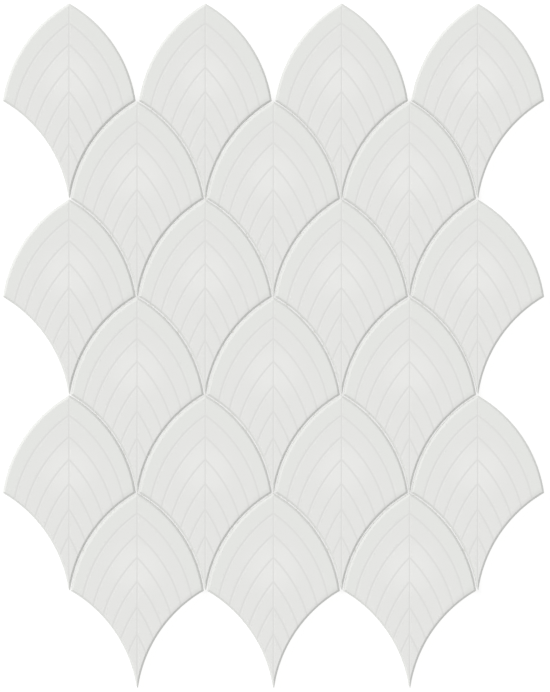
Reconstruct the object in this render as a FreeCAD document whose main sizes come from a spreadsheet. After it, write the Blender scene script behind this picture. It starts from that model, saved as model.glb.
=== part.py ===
# Sheet of fish scale tiles: pointed glazed tiles in offset rows, held together by a net across their backs.
# Millimetres, +Z up. The sheet lies face up with its origin under the middle of its outline, and +Y runs
# from the bottom row to the top row. Each tile is drawn with its upper tip at its own origin.

import FreeCAD
import Part
import os

# Name, size and meaning of each driving dimension.
DIMENSIONS = (
    ("column_pitch", 63.0, "from tile to tile along a row"),
    ("row_pitch", 45.33, "from row to row"),
    ("row_count", 6, "rows in the sheet"),
    ("long_row_count", 4, "tiles in the first row; every second row has one fewer"),
    ("joint", 0.65, "open joint between neighbouring edges"),
    ("corner_gap", 1.6, "between neighbours' corners in a row, where the tip of the tile below stands"),
    ("edge_radius", 61.85, "radius of the two upper edges"),
    ("tile_thickness", 7.0, "face to back of a tile"),
    ("bevel_width", 0.9, "bevel round the face, measured across the face"),
    ("bevel_height", 0.75, "bevel round the face, measured down the edge"),
    ("midrib_width", 0.9, "groove along the centreline, at the face"),
    ("midrib_depth", 0.15, "groove along the centreline, below the face"),
    ("yarn_width", 0.6, "one yarn of the net, which is a flat bundle"),
    ("yarn_thickness", 0.25, "one yarn of the net, and each of the net's two layers"),
    ("net_pitch", 6.3, "from yarn to yarn, both ways"),
    ("net_margin", 4.0, "how far the net stays inside the notches of the outline"),
)

# Places that several pieces share, as expressions of the driving dimensions. An upper edge is the arc of the
# given radius from the tip to the corner one row pitch below it: its centre is the middle of that chord,
# shifted square to the chord.
TILE_LENGTH = "(2 * dims.row_pitch - dims.joint)"
CORNER_X = "((dims.column_pitch - dims.corner_gap) / 2)"
CENTRE_SHIFT = f"sqrt(dims.edge_radius^2 / ({CORNER_X}^2 + dims.row_pitch^2) - 1 / 4)"
EDGE_CENTRE_X = f"(dims.row_pitch * {CENTRE_SHIFT} - {CORNER_X} / 2)"
EDGE_CENTRE_Y = f"(-{CORNER_X} * {CENTRE_SHIFT} - dims.row_pitch / 2)"
TOP_ROW_TIP_Y = "((dims.row_count + 1) * dims.row_pitch - dims.joint) / 2"
TILE_BACK_Z = "(2 * dims.yarn_thickness)"

document = FreeCAD.newDocument("fish_scale_sheet")
dims = document.addObject("Spreadsheet::Sheet", "dims")
for line, (alias, size, meaning) in enumerate(DIMENSIONS, start=1):
    dims.set(f"A{line}", meaning)
    dims.set(f"B{line}", str(size))
    dims.setAlias(f"B{line}", alias)
document.recompute()


def add(kind, name, **expressions):
    """Adds an object and binds its properties: a double underscore in a path stands for the dot."""
    item = document.addObject(kind, name)
    for path, expression in expressions.items():
        item.setExpression(path.replace("__", "."), expression)
    return item


def combine(kind, name, *items):
    item = document.addObject(kind, name)
    item.Shapes = list(items)
    return item


def turned_edge(name, side, radius, bevelled_radius, centre_x, centre_y):
    """A turned block with the radius of one tile edge, coned to the bevelled radius at the face."""
    place = {"Placement__Base__x": f"{side} * {centre_x}", "Placement__Base__y": centre_y}
    wall = add("Part::Cylinder", f"{name}_wall", Radius=radius,
               Height="dims.tile_thickness - dims.bevel_height", **place)
    bevel = add("Part::Cone", f"{name}_bevel", Radius1=radius, Radius2=bevelled_radius,
                Height="dims.bevel_height",
                Placement__Base__z="dims.tile_thickness - dims.bevel_height", **place)
    return combine("Part::MultiFuse", name, wall, bevel)


def upper_edge(name, side):
    """The tile lies inside this block: its rim is one convex upper edge."""
    return turned_edge(name, side, "dims.edge_radius", "dims.edge_radius - dims.bevel_width",
                       EDGE_CENTRE_X, EDGE_CENTRE_Y)


def lower_edge(name, side):
    """The tile lies outside this block: it is the upper edge of the tile below, grown by the joint."""
    return turned_edge(name, side, "dims.edge_radius + dims.joint",
                       "dims.edge_radius + dims.joint + dims.bevel_width",
                       f"(dims.column_pitch / 2 + {EDGE_CENTRE_X})", f"{EDGE_CENTRE_Y} - dims.row_pitch")


def midrib_groove():
    """A V groove along the centreline of the face, from tip to tip."""
    groove = add("Part::Wedge", "midrib_groove", Xmin="-dims.midrib_width / 2", Xmax="dims.midrib_width / 2",
                 Ymax="dims.midrib_depth", Zmax=TILE_LENGTH, Z2max=TILE_LENGTH,
                 Placement__Base__y=f"-{TILE_LENGTH}", Placement__Base__z="dims.tile_thickness")
    groove.Ymin = groove.Zmin = groove.Z2min = groove.X2min = groove.X2max = 0
    groove.Placement.Rotation = FreeCAD.Rotation(FreeCAD.Vector(1, 0, 0), -90)
    return groove


def scale_tile():
    """One tile: a blank as long as the tile, rounded by two upper edges and hollowed by two lower ones."""
    blank = add("Part::Box", "blank", Length="dims.column_pitch", Width=f"{TILE_LENGTH} + dims.joint",
                Height="dims.tile_thickness",
                Placement__Base__x="-dims.column_pitch / 2", Placement__Base__y=f"-{TILE_LENGTH}")
    arch = combine("Part::MultiCommon", "arch", blank, upper_edge("left_upper_edge", 1),
                   upper_edge("right_upper_edge", -1))
    cuts = combine("Part::MultiFuse", "cuts", lower_edge("left_lower_edge", -1),
                   lower_edge("right_lower_edge", 1), midrib_groove())
    tile = document.addObject("Part::Cut", "scale_tile")
    tile.Base = arch
    tile.Tool = cuts
    return tile


def place_tiles(tile):
    """A copy of the tile at each place of the sheet; the short rows stand half a pitch in."""
    copies = []
    for row in range(int(dims.row_count)):
        row_tiles = int(dims.long_row_count) - row % 2
        for column in range(row_tiles):
            label = f"tile_r{row + 1}_c{column + 1}"
            copy = add("App::Link", label,
                       Placement__Base__x=f"{column - (row_tiles - 1) / 2} * dims.column_pitch",
                       Placement__Base__y=f"{TOP_ROW_TIP_Y} - {row} * dims.row_pitch",
                       Placement__Base__z=TILE_BACK_Z)
            copy.LinkedObject = tile
            copies.append(copy)
    return copies


def yarn_layer(name, across, along, z, clear_width, clear_length):
    """One layer of parallel yarns, centred on the sheet: across is the axis they are spaced on."""
    yarns = []
    width_path, length_path = {"x": ("Length", "Width"), "y": ("Width", "Length")}[across]
    count = int((clear_width - dims.yarn_width) // dims.net_pitch) + 1
    for number in range(count):
        offset = f"{number - (count - 1) / 2} * dims.net_pitch"
        yarns.append(add("Part::Box", f"{name}_{number + 1}", Height="dims.yarn_thickness",
                         **{width_path: "dims.yarn_width", length_path: clear_length,
                            f"Placement__Base__{across}": f"{offset} - dims.yarn_width / 2",
                            f"Placement__Base__{along}": f"-({clear_length}) / 2",
                            "Placement__Base__z": z}))
    layer = document.addObject("Part::Compound", name)
    layer.Links = yarns
    return layer


def backing_net():
    """Two layers of yarns, stuck where they cross, behind the part of the sheet that has no notches."""
    net_width = "((dims.long_row_count - 1) * dims.column_pitch - 2 * dims.net_margin)"
    net_length = "((dims.row_count - 1) * dims.row_pitch - 2 * dims.net_margin)"
    clear_width = (dims.long_row_count - 1) * dims.column_pitch - 2 * dims.net_margin
    clear_length = (dims.row_count - 1) * dims.row_pitch - 2 * dims.net_margin
    weft = yarn_layer("net_weft", "y", "x", "0", clear_length, net_width)
    warp = yarn_layer("net_warp", "x", "y", "dims.yarn_thickness", clear_width, net_length)
    return [weft, warp]


pieces = place_tiles(scale_tile()) + backing_net()
document.recompute()

for item in document.Objects:
    if {"Invalid", "Error"} & set(item.State):
        raise RuntimeError(f"{item.Label} failed: {item.State}")

os.makedirs("parts", exist_ok=True)
for piece in pieces:
    shape = Part.getShape(piece)
    if shape.isNull() or not shape.isValid() or not shape.Solids:
        raise RuntimeError(f"{piece.Label} has no valid solid")
    shape.exportStep(f"parts/{piece.Label}.step")
    print(piece.Label, len(shape.Solids), "solids", round(shape.Volume, 1), "mm3")
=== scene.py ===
import math
import bpy
import numpy as np
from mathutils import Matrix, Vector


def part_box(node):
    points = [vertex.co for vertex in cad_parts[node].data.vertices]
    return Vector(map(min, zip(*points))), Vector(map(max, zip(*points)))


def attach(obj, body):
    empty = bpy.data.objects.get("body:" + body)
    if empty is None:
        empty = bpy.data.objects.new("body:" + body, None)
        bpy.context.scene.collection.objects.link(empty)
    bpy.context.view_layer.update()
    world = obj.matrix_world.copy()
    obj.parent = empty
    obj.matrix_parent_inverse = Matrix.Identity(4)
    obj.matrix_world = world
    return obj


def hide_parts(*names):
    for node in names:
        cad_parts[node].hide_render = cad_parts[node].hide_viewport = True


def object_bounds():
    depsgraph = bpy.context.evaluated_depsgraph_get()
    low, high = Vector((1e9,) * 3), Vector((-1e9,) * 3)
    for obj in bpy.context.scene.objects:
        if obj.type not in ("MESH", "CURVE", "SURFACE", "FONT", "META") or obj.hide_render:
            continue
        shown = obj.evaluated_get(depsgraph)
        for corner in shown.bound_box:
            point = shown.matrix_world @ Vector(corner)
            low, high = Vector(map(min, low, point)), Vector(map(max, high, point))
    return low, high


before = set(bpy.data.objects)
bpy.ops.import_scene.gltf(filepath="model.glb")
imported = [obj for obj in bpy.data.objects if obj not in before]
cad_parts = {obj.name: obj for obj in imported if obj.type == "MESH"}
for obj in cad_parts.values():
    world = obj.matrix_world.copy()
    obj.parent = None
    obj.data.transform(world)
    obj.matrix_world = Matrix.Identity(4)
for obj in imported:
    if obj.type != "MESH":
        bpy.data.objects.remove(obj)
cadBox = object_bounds()
mm = 0.001  # the frame is in metres, the sizes below are in millimetres
mapMm = 100.0  # millimetres to one unit of a tile's own map
print("frame loaded:", len(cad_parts), "nodes")


def linear(hexColour):
    srgb = np.array([int(hexColour[i:i + 2], 16) / 255 for i in (0, 2, 4)])
    return (*np.where(srgb <= 0.04045, srgb / 12.92, ((srgb + 0.055) / 1.055) ** 2.4), 1.0)


def addNode(tree, kind, links=None, values=None, **settings):
    node = tree.nodes.new(kind)
    for name, value in settings.items():
        setattr(node, name, value)
    for key, value in (values or {}).items():
        node.inputs[key].default_value = value
    for key, socket in (links or {}).items():
        tree.links.new(socket, node.inputs[key])
    return node


def newMaterial(name):
    material = bpy.data.materials.new(name)
    material.use_nodes = True
    tree = material.node_tree
    tree.nodes.clear()
    shader = addNode(tree, "ShaderNodeBsdfPrincipled")
    addNode(tree, "ShaderNodeOutputMaterial", links={"Surface": shader.outputs["BSDF"]})
    return material, tree, shader


# glazed porcelain: an even off-white satin body, a lighter patch in the middle that is a painted soft
# highlight, a cooler outer band, glaze thinner on the rim, and the cut lines a little darker, which is painted
# shade in the cuts; the glaze runs out unevenly down the wall, and the bare clay below that line and on the
# back is warmer and dull
# groove is painted shade laid into the cut lines
glaze = dict(body="e4e4e2", mottle="e2e2df", paintedHighlight="e8e8e6", outer="e3e4e1", groove="dcdcda", rim="dedfdc",
             clay="d0cabd", mottleMm=3.3, mottleStart=0.45, mottleEnd=0.8, mottleShare=0.25,
             waveMm=1.1, waveDeepMm=0.2, waveStrength=0.06, outerStart=0.95, outerEnd=1.05,
             cloudDown=34.0, cloudInner=4.0, cloudOuter=17.0, satin=(0.45, 0.57), clayRoughness=0.85,
             lineStart=0.72, lineEnd=0.8, lineWander=0.3)


def glazeMaterial():
    material, tree, shader = newMaterial("glazedPorcelain")
    tilePlace = addNode(tree, "ShaderNodeUVMap", uv_map="tileMap").outputs["UV"]
    sheetPlace = addNode(tree, "ShaderNodeTexCoord").outputs["Object"]
    cutLine, band, rim, depth = (addNode(tree, "ShaderNodeAttribute", attribute_name=name).outputs["Fac"]
                                 for name in ("cutLine", "bandIndex", "rimShare", "wallDepth"))
    distance = addNode(tree, "ShaderNodeVectorMath", operation="DISTANCE", links={0: tilePlace},
                       values={1: (0.5, glaze["cloudDown"] / mapMm, 0.0)})
    # painted highlight: a soft lighter patch round the midrib a third of the way down the tile, standing in for
    # a broad reflection on the glaze
    paintedHighlight = addNode(tree, "ShaderNodeMapRange", interpolation_type="SMOOTHSTEP",
                    links={"Value": distance.outputs["Value"]},
                    values={"From Min": glaze["cloudInner"] / mapMm, "From Max": glaze["cloudOuter"] / mapMm,
                            "To Min": 1.0, "To Max": 0.0})
    # the cooler band reaches from the upper edges to vein 1
    outer = addNode(tree, "ShaderNodeMapRange", interpolation_type="SMOOTHSTEP", links={"Value": band},
                    values={"From Min": glaze["outerStart"], "From Max": glaze["outerEnd"],
                            "To Min": 1.0, "To Max": 0.0})
    speck = addNode(tree, "ShaderNodeTexNoise", links={"Vector": sheetPlace},
                    values={"Scale": 1 / (glaze["mottleMm"] * mm), "Detail": 3.0,
                            "Roughness": 0.6}).outputs["Fac"]
    mottle = addNode(tree, "ShaderNodeMapRange", links={"Value": speck},
                     values={"From Min": glaze["mottleStart"], "From Max": glaze["mottleEnd"],
                             "To Min": 0.0, "To Max": glaze["mottleShare"]})
    ragged = addNode(tree, "ShaderNodeMath", operation="MULTIPLY_ADD", links={0: speck, 2: depth},
                     values={1: glaze["lineWander"]})
    bare = addNode(tree, "ShaderNodeMapRange", interpolation_type="SMOOTHSTEP",
                   links={"Value": ragged.outputs[0]},
                   values={"From Min": glaze["lineStart"], "From Max": glaze["lineEnd"]}).outputs["Result"]
    colour = None
    # tones mixed over the body: mottle, the painted highlight, the cooler outer band, painted shade in the cut
    # lines, the rim and the bare clay
    for factor, tone in ((mottle.outputs["Result"], "mottle"), (paintedHighlight.outputs["Result"], "paintedHighlight"),
                         (outer.outputs["Result"], "outer"), (cutLine, "groove"), (rim, "rim"), (bare, "clay")):
        mix = addNode(tree, "ShaderNodeMix", data_type="RGBA", links={0: factor},
                      values={6: linear(glaze["body"]), 7: linear(glaze[tone])})
        if colour:
            tree.links.new(colour, mix.inputs[6])
        colour = mix.outputs[2]
    wave = addNode(tree, "ShaderNodeTexNoise", links={"Vector": sheetPlace},
                   values={"Scale": 1 / (glaze["waveMm"] * mm), "Detail": 2.0})
    bump = addNode(tree, "ShaderNodeBump", links={"Height": wave.outputs["Fac"]},
                   values={"Strength": glaze["waveStrength"], "Distance": glaze["waveDeepMm"] * mm})
    satin = addNode(tree, "ShaderNodeMapRange", links={"Value": speck},
                    values={"To Min": glaze["satin"][0], "To Max": glaze["satin"][1]})
    dull = addNode(tree, "ShaderNodeMix", data_type="FLOAT", links={0: bare, 2: satin.outputs["Result"]},
                   values={3: glaze["clayRoughness"]})
    tree.links.new(colour, shader.inputs["Base Color"])
    tree.links.new(dull.outputs[0], shader.inputs["Roughness"])
    tree.links.new(bump.outputs["Normal"], shader.inputs["Normal"])
    shader.inputs["IOR"].default_value = 1.5
    return material


# one tile in millimetres, its upper tip at the origin and its face up: the two upper edges are arcs from the
# tip to the corners, the two lower edges are the upper edges of the tiles below, grown by the joint; rimShape
# is the section of the rim, as shares of its width from the outline and of its drop
tile = dict(columnPitch=63.0, rowPitch=45.33, joint=0.65, cornerGap=1.6, edgeRadius=61.85, thickness=7.0,
            rimWidth=0.9, rimDrop=0.75, wallStart=1.2, backRound=0.3, sharpAngle=40.0,
            rimShape=((0.93, 0.03), (0.84, 0.13), (0.5, 0.48), (0.16, 0.82), (0.05, 0.95), (0.0, 1.1)),
            veinCount=6, veinStep=8.95, veinGrowth=0.32, veinSlope=30.0, veinTurn=5.0, tailSlope=66.0,
            veinHalf=0.72, veinDepth=0.05, midribHalf=0.5, midribDepth=0.06,
            veinRows=(2.5, 1.3, 1.0, 0.75, 0.5, 0.25, 0.0, -0.25, -0.5, -0.75, -1.0, -1.3, -2.5),
            bandRows=(0.08, 0.2, 0.35, 0.5, 0.65, 0.8, 0.92), indexPerMm=0.01,
            midribColumns=(0.0, 0.2, 0.4, 0.6, 0.8, 1.0, 1.4, 2.2), arcColumns=22)

tileLength = 2 * tile["rowPitch"] - tile["joint"]
cornerX = (tile["columnPitch"] - tile["cornerGap"]) / 2
centreShift = math.sqrt(tile["edgeRadius"] ** 2 / (cornerX ** 2 + tile["rowPitch"] ** 2) - 0.25)
upperCentre = np.array([cornerX / 2 - tile["rowPitch"] * centreShift,
                        -cornerX * centreShift - tile["rowPitch"] / 2])
lowerCentre = np.array([tile["columnPitch"] / 2 - upperCentre[0], upperCentre[1] - tile["rowPitch"]])
lowerRadius = tile["edgeRadius"] + tile["joint"]


def circlesMeet(centre, radius, otherCentre, otherRadius):
    # the higher of the two points where circles cross, for whole arrays of circles
    between = otherCentre - centre
    apart = np.linalg.norm(between, axis=-1, keepdims=True)
    ahead = (radius ** 2 - otherRadius ** 2 + apart ** 2) / (2 * apart)
    aside = np.sqrt(np.maximum(radius ** 2 - ahead ** 2, 0))
    across = np.stack([-between[..., 1], between[..., 0]], -1) / apart
    return centre + between / apart * ahead + across * aside


def angleAt(point, centre):
    return np.arctan2(point[..., 1] - centre[..., 1], point[..., 0] - centre[..., 0])


def onCircle(centre, radius, angle):
    return centre + radius * np.stack([np.cos(angle), np.sin(angle)], -1)


def insetEnds(inset):
    # tip, corner and tail of the right half of the outline, moved inwards: angles about the two edge centres
    upperRadius, outerRadius = tile["edgeRadius"] - inset, lowerRadius + inset
    corner = circlesMeet(upperCentre, np.array([upperRadius]), lowerCentre, outerRadius)
    tipAngle = math.acos(-upperCentre[0] / upperRadius)
    bluntX = lowerCentre[0] - math.sqrt(outerRadius ** 2 - (tileLength + lowerCentre[1]) ** 2)
    tail = [bluntX, -tileLength]
    if bluntX < 0:  # the two lower edges meet before the blunt end
        tail = [0.0, lowerCentre[1] + math.sqrt(outerRadius ** 2 - lowerCentre[0] ** 2)]
    tailAngle = angleAt(np.array(tail), lowerCentre)
    return tipAngle, angleAt(corner, upperCentre), angleAt(corner, lowerCentre), tailAngle


def insetLoop(inset, upperShare, lowerShare):
    # the outline moved inwards, at given shares of its edges: left corner, tip, right corner, tail and back
    tipAngle, cornerAngle, lowerStart, lowerEnd = insetEnds(inset)
    upperAngle = tipAngle + (cornerAngle - tipAngle) * upperShare
    lowerAngle = lowerStart + np.mod(lowerEnd - lowerStart, 2 * math.pi) * lowerShare
    upper = onCircle(upperCentre, tile["edgeRadius"] - inset, upperAngle)
    lower = onCircle(lowerCentre, lowerRadius + inset, lowerAngle)
    flip = np.array([-1, 1])
    return np.concatenate([upper[:0:-1] * flip, upper, lower[1:], lower[-2:0:-1] * flip])


def groove(distance, half):
    # a rounded cut: full depth on its line, level with the face at half its width
    return np.where(np.abs(distance) < half, 0.5 + 0.5 * np.cos(math.pi * distance / half), 0.0)


def arcCentre(startY, slope):
    # centre of the arc, with the radius of the edges, that leaves the midrib at startY and falls at the slope
    return np.stack([-tile["edgeRadius"] * np.sin(slope), startY - tile["edgeRadius"] * np.cos(slope)], -1)


def faceRows(tailY):
    # each row of the face is an arc, given by its centre and radius: row 0 is the border below the upper rim,
    # row k is vein k and the last row is the tail; vein k leaves the midrib k steps below the tip, each step
    # a little longer, and is a few degrees steeper than the one before; the rows between blend the circles
    # of their neighbours
    count = tile["veinCount"]
    number = np.arange(1, count + 1)
    veinStart = -(tile["veinStep"] * number + tile["veinGrowth"] * number ** 2)
    veinCentre = arcCentre(veinStart, np.radians(tile["veinSlope"] + tile["veinTurn"] * number))
    tailCentre = arcCentre(tailY, math.radians(tile["tailSlope"]))
    across = tile["veinHalf"] * np.array(tile["veinRows"])  # lines parallel to a vein, across its cut
    veinIndex = (number[:, None] - across * tile["indexPerMm"]).ravel()
    keyIndex = np.concatenate([[0.0], veinIndex, [count + 1.0]])
    keyRadius = np.concatenate([[tile["edgeRadius"] - tile["rimWidth"]],
                                np.tile(tile["edgeRadius"] + across, count), [tile["edgeRadius"]]])
    keyCentre = np.concatenate([[upperCentre], np.repeat(veinCentre, len(across), 0), [tailCentre]])
    keyCut = np.concatenate([[0.0], np.tile(groove(across, tile["veinHalf"]), count), [0.0]])
    between = np.arange(count + 1)[:, None] + np.array(tile["bandRows"])
    bandIndex = np.sort(np.concatenate([keyIndex, between.ravel()]))
    radius = np.interp(bandIndex, keyIndex, keyRadius)[:, None]
    centre = np.stack([np.interp(bandIndex, keyIndex, keyCentre[:, i]) for i in (0, 1)], -1)
    return bandIndex, centre, radius, np.interp(bandIndex, keyIndex, keyCut)


def halfFace():
    # right half of the face: the first columns stand beside the midrib across its cut, the others take even
    # steps along each row's arc to the border above the lower rim
    border = lowerRadius + tile["rimWidth"]
    tailY = lowerCentre[1] + math.sqrt(border ** 2 - lowerCentre[0] ** 2)
    bandIndex, centre, radius, veinCut = faceRows(tailY)
    end = circlesMeet(centre, radius, lowerCentre, border)
    end[-1] = (0.0, tailY)
    beside = tile["midribHalf"] * np.array(tile["midribColumns"])
    beside = beside * np.minimum(1.0, end[:, :1] / (2 * beside[-1]))
    besideAngle = np.arccos(np.clip((beside - centre[:, :1]) / radius, -1, 1))
    left = angleAt(end, centre)[:, None] - besideAngle[:, -1:]
    share = np.linspace(0, 1, tile["arcColumns"] + 1)[1:]
    angle = np.concatenate([besideAngle, besideAngle[:, -1:] + left * share], 1)
    x = centre[:, :1] + radius * np.cos(angle)
    y = centre[:, 1:] + radius * np.sin(angle)
    x[:, 0] = 0.0
    x[:, -1], y[:, -1] = end[:, 0], end[:, 1]
    x[-1], y[-1] = 0.0, tailY
    midribCut = groove(x, tile["midribHalf"])
    cut = np.maximum(tile["veinDepth"] * veinCut[:, None], tile["midribDepth"] * midribCut)
    # this mask also carries the painted shade of the cut lines in the glaze
    line = np.maximum(veinCut[:, None], midribCut)  # 1 in the middle of every cut line
    return x, y, cut, line, bandIndex, end


def tileSurface():
    # the face is the half face and its mirror image; rings of the inset outline carry its border down the rim
    # and the wall to the back
    x, y, cut, line, bandIndex, end = halfFace()
    x = np.concatenate([-x[:, :0:-1], x], 1)
    y, cut, line = (np.concatenate([part[:, :0:-1], part], 1) for part in (y, cut, line))
    rows, columns = x.shape
    half = columns // 2
    tail = (rows - 1) * columns + half
    index = np.repeat(bandIndex[:, None], columns, 1)
    # shares of the outline at the face's border, so that the rim and the wall follow its points
    tipAngle, cornerAngle = insetEnds(tile["rimWidth"])[:2]
    upperAngle = angleAt(np.stack([x[0, half:], y[0, half:]], -1), upperCentre)
    upperShare = (upperAngle - tipAngle) / (cornerAngle - tipAngle)
    lowerAngle = np.mod(angleAt(end, lowerCentre), 2 * math.pi)
    lowerShare = (lowerAngle - lowerAngle[0]) / (lowerAngle[-1] - lowerAngle[0])
    ring = np.concatenate([np.arange(columns), np.arange(1, rows - 1) * columns + columns - 1, [tail],
                           np.arange(rows - 2, 0, -1) * columns])
    ringCut, ringLine, ringIndex = (part.ravel()[ring] for part in (cut, line, index))
    # levels: inset and height of each ring, and whether the cut lines run on through it
    levels = [(tile["rimWidth"] * inwards, tile["thickness"] - tile["rimDrop"] * down, 1.0)
              for inwards, down in tile["rimShape"]]
    levels += [(0.0, tile["thickness"] / 2, 0.0), (0.0, tile["backRound"], 0.0),
               (tile["backRound"], 0.0, 0.0)]
    points = [np.stack([x, y, tile["thickness"] - cut], -1).reshape(-1, 3)]
    lines, indices, rims = [line.ravel()], [index.ravel()], [np.zeros(rows * columns)]
    for inset, height, cutShare in levels:
        loop = insetLoop(inset, upperShare, lowerShare)
        points.append(np.column_stack([loop, height - ringCut * cutShare]))
        lines.append(ringLine * cutShare)
        indices.append(ringIndex)
        rims.append(np.ones(len(ring)))
    points = np.concatenate(points)
    wallTop = tile["thickness"] - tile["wallStart"] * tile["rimDrop"]  # just below the rim
    marks = dict(cutLine=np.concatenate(lines), bandIndex=np.concatenate(indices),
                 rimShare=np.concatenate(rims), wallDepth=np.clip(1 - points[:, 2] / wallTop, 0, 1))
    # faces: the grid, whose last row is one point, then strips from ring to ring, then the back
    cell = (np.arange(rows - 1)[:, None] * columns + np.arange(columns - 1)).ravel()
    quads = np.stack([cell, cell + columns, cell + columns + 1, cell + 1], -1)
    quads[quads >= (rows - 1) * columns] = tail
    rings = [ring] + [rows * columns + len(ring) * k + np.arange(len(ring)) for k in range(len(levels))]
    strips = [np.stack([a, np.roll(a, -1), np.roll(b, -1), b], -1) for a, b in zip(rings, rings[1:])]
    quads = np.concatenate([quads] + strips)
    faces = [tuple(dict.fromkeys(quad)) for quad in quads.tolist()]  # triangles round the tail
    return points, faces + [tuple(rings[-1].tolist())], marks


tilePoints, tileFaces, tileMarks = tileSurface()
print("tile surface:", len(tilePoints), "points")


def buildTile(node, material):
    low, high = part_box(node)
    tip = np.array([(low.x + high.x) / 2, high.y, low.z])
    mesh = bpy.data.meshes.new(node + "_glazed")
    mesh.from_pydata((tilePoints * mm + tip).tolist(), [], tileFaces)
    for name, values in tileMarks.items():
        mesh.attributes.new(name, "FLOAT", "POINT").data.foreach_set("value", values.astype(np.float32))
    corners = np.empty(len(mesh.loops), np.int32)
    mesh.loops.foreach_get("vertex_index", corners)
    plan = tilePoints[corners, :2] * (1, -1) / mapMm + (0.5, 0.0)  # downwards from the tip
    mesh.uv_layers.new(name="tileMap").data.foreach_set("uv", plan.ravel().astype(np.float32))
    mesh.materials.append(material)
    mesh.polygons.foreach_set("use_smooth", np.ones(len(mesh.polygons), bool))
    mesh.validate()
    mesh.set_sharp_from_angle(angle=math.radians(tile["sharpAngle"]))
    piece = bpy.data.objects.new(node + "_glazed", mesh)
    bpy.context.scene.collection.objects.link(piece)
    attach(piece, "root")
    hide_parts(node)
    return piece


glazed = glazeMaterial()
tileNodes = sorted(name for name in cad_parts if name.startswith("tile_"))
tiles = [buildTile(name, glazed) for name in tileNodes]
print("tiles built:", len(tiles))

# glass yarn of the net: clear bundles of fibre that let light through, streaked along their length
yarn = dict(light="fcfcfa", dark="f4f4f0", fibreMm=0.12, streak=50.0, fibreStrength=0.5, fibreDeepMm=0.05)


def yarnMaterial(name, along):
    material, tree, shader = newMaterial(name)
    place = addNode(tree, "ShaderNodeTexCoord")
    stretch = [1 / (yarn["fibreMm"] * mm)] * 3
    stretch[along] /= yarn["streak"]  # the fibres run along the yarn
    mapped = addNode(tree, "ShaderNodeMapping", links={"Vector": place.outputs["Object"]},
                     values={"Scale": stretch})
    fibre = addNode(tree, "ShaderNodeTexNoise", links={"Vector": mapped.outputs["Vector"]},
                    values={"Scale": 1.0, "Detail": 2.0})
    mix = addNode(tree, "ShaderNodeMix", data_type="RGBA", links={0: fibre.outputs["Fac"]},
                  values={6: linear(yarn["dark"]), 7: linear(yarn["light"])})
    bump = addNode(tree, "ShaderNodeBump", links={"Height": fibre.outputs["Fac"]},
                   values={"Strength": yarn["fibreStrength"], "Distance": yarn["fibreDeepMm"] * mm})
    tree.links.new(mix.outputs[2], shader.inputs["Base Color"])
    tree.links.new(bump.outputs["Normal"], shader.inputs["Normal"])
    shader.inputs["Roughness"].default_value = 0.4
    shader.inputs["IOR"].default_value = 1.06  # low, so that the yarns hardly show in the open joints
    shader.inputs["Transmission Weight"].default_value = 0.97
    return material


# net: flat yarns in two layers that touch the backs of the tiles
net = dict(pitch=6.3, width=0.6, clear=0.01, pinch=0.12, sides=8, warpCount=29, weftCount=35, sharpAngle=60.0)


def buildYarns(node, count, along, material):
    # each yarn is a flat rounded bundle along one axis: stations along it, an ellipse of points at each one;
    # its width varies a little along it, with the pitch of the net
    low, high = (np.array(corner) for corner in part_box(node))
    across = 1 - along
    centre, half = (low + high) / 2, (high - low) / 2
    pitch = net["pitch"] * mm
    station = np.linspace(-half[along], half[along], 4 * int(half[along] // pitch) + 1)
    spread = 1 - net["pinch"] * np.sin(math.pi * station / pitch) ** 2
    turn = np.arange(net["sides"]) * 2 * math.pi / net["sides"]
    middle = (np.arange(count) - (count - 1) / 2) * pitch
    shape = (count, len(station), net["sides"])
    points = np.empty(shape + (3,))
    points[..., along] = centre[along] + station[None, :, None]
    points[..., across] = (centre[across] + middle[:, None, None]
                           + net["width"] * mm / 2 * spread[None, :, None] * np.cos(turn))
    points[..., 2] = centre[2] + (half[2] - net["clear"] * mm) * np.sin(turn)
    grid = np.arange(math.prod(shape)).reshape(shape)
    beyond = np.roll(grid, -1, 2)
    quads = np.stack([grid[:, :-1], beyond[:, :-1], beyond[:, 1:], grid[:, 1:]], -1).reshape(-1, 4)
    ends = np.concatenate([grid[:, 0, ::-1], grid[:, -1]])
    if along == 1:  # the other axis order mirrors the yarn, so its faces are turned
        quads, ends = quads[:, ::-1], ends[:, ::-1]
    mesh = bpy.data.meshes.new(node + "_yarns")
    mesh.from_pydata(points.reshape(-1, 3).tolist(), [], quads.tolist() + ends.tolist())
    mesh.materials.append(material)
    mesh.polygons.foreach_set("use_smooth", np.ones(len(mesh.polygons), bool))
    mesh.validate()
    mesh.set_sharp_from_angle(angle=math.radians(net["sharpAngle"]))
    piece = bpy.data.objects.new(node + "_yarns", mesh)
    bpy.context.scene.collection.objects.link(piece)
    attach(piece, "root")
    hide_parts(node)
    return piece


buildYarns("net_warp", net["warpCount"], 1, yarnMaterial("warpYarn", 1))
buildYarns("net_weft", net["weftCount"], 0, yarnMaterial("weftYarn", 0))
print("net built")

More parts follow.
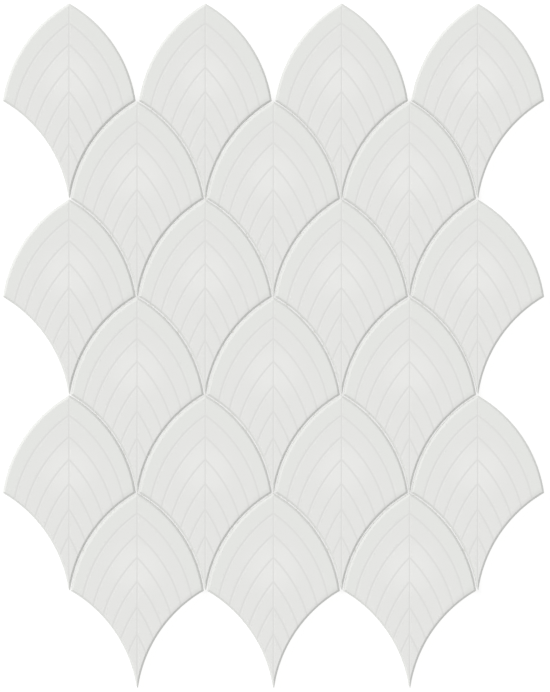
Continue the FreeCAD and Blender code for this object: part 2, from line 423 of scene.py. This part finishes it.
# stage: a lit white table, as in a catalogue picture, so that the ground and the open joints read white; its
# glow is dimmer in the rectangle that the sheet covers, a painted shade under the sheet (all in metres)
stage = dict(side=60.0, drop=0.0001, white=0.15, glow=0.92, paintedShadeGlow=0.77, underWidth=0.0945,
             underLength=0.113, soft=0.002)
floorMesh = bpy.data.meshes.new("whiteTable")
floorCorners = np.array([(-1, -1, 0), (1, -1, 0), (1, 1, 0), (-1, 1, 0)]) * stage["side"] / 2
floorMesh.from_pydata((floorCorners - (0, 0, stage["drop"])).tolist(), [], [(0, 1, 2, 3)])
floor = bpy.data.objects.new("whiteTable", floorMesh)
bpy.context.scene.collection.objects.link(floor)
floorMaterial, floorTree, floorShader = newMaterial("litWhiteTable")
floorShader.inputs["Base Color"].default_value = (stage["white"], stage["white"], stage["white"], 1)
floorShader.inputs["Specular IOR Level"].default_value = 0.0
floorShader.inputs["Emission Color"].default_value = (1, 1, 1, 1)
floorPlace = addNode(floorTree, "ShaderNodeTexCoord")
floorAxes = addNode(floorTree, "ShaderNodeSeparateXYZ", links={0: floorPlace.outputs["Object"]})
beyondEdge = []
# the glow drops inside the sheet's rectangle: painted shade under the sheet
for axis, reach in (("X", stage["underWidth"]), ("Y", stage["underLength"])):
    size = addNode(floorTree, "ShaderNodeMath", operation="ABSOLUTE", links={0: floorAxes.outputs[axis]})
    beyondEdge.append(addNode(floorTree, "ShaderNodeMapRange", links={"Value": size.outputs[0]},
                              values={"From Min": reach - stage["soft"], "From Max": reach + stage["soft"],
                                      "To Min": stage["paintedShadeGlow"], "To Max": stage["glow"]}))
floorGlow = addNode(floorTree, "ShaderNodeMath", operation="MAXIMUM",
                    links={0: beyondEdge[0].outputs["Result"], 1: beyondEdge[1].outputs["Result"]})
floorTree.links.new(floorGlow.outputs[0], floorShader.inputs["Emission Strength"])
floorMesh.materials.append(floorMaterial)

# light: an even white surround and one soft key from the upper left
light = dict(surround=0.55, key=1.95, azimuth=142.0, elevation=47.0, softness=30.0)
world = bpy.data.worlds.new("whiteSurround")
bpy.context.scene.world = world
world.use_nodes = True
world.node_tree.nodes["Background"].inputs["Color"].default_value = (1, 1, 1, 1)
world.node_tree.nodes["Background"].inputs["Strength"].default_value = light["surround"]
sun = bpy.data.lights.new("softKey", "SUN")
sun.energy = light["key"]
sun.angle = math.radians(light["softness"])
sunObject = bpy.data.objects.new("softKey", sun)
sunObject.rotation_euler = (0, math.radians(90 - light["elevation"]), math.radians(light["azimuth"]))
bpy.context.scene.collection.objects.link(sunObject)

# camera: straight down from far off through a long lens, so that the sheet keeps its plan; the picture is 692
# pixels high
view = dict(height=692, mmPerPixel=0.4625, lens=1000.0, sensor=36.0, shiftX=0.68, shiftY=-0.12)
camera = bpy.data.cameras.new("planCamera")
camera.lens = view["lens"]
camera.sensor_width = view["sensor"]
away = view["height"] * view["mmPerPixel"] * mm * view["lens"] / view["sensor"]
camera.clip_end = 2 * away
cameraObject = bpy.data.objects.new("planCamera", camera)
cameraObject.location = (view["shiftX"] * mm, view["shiftY"] * mm, cadBox[1].z + away)
bpy.context.scene.collection.objects.link(cameraObject)
bpy.context.scene.camera = cameraObject
bpy.context.scene.view_settings.view_transform = "Standard"
print("stage, light and camera set")
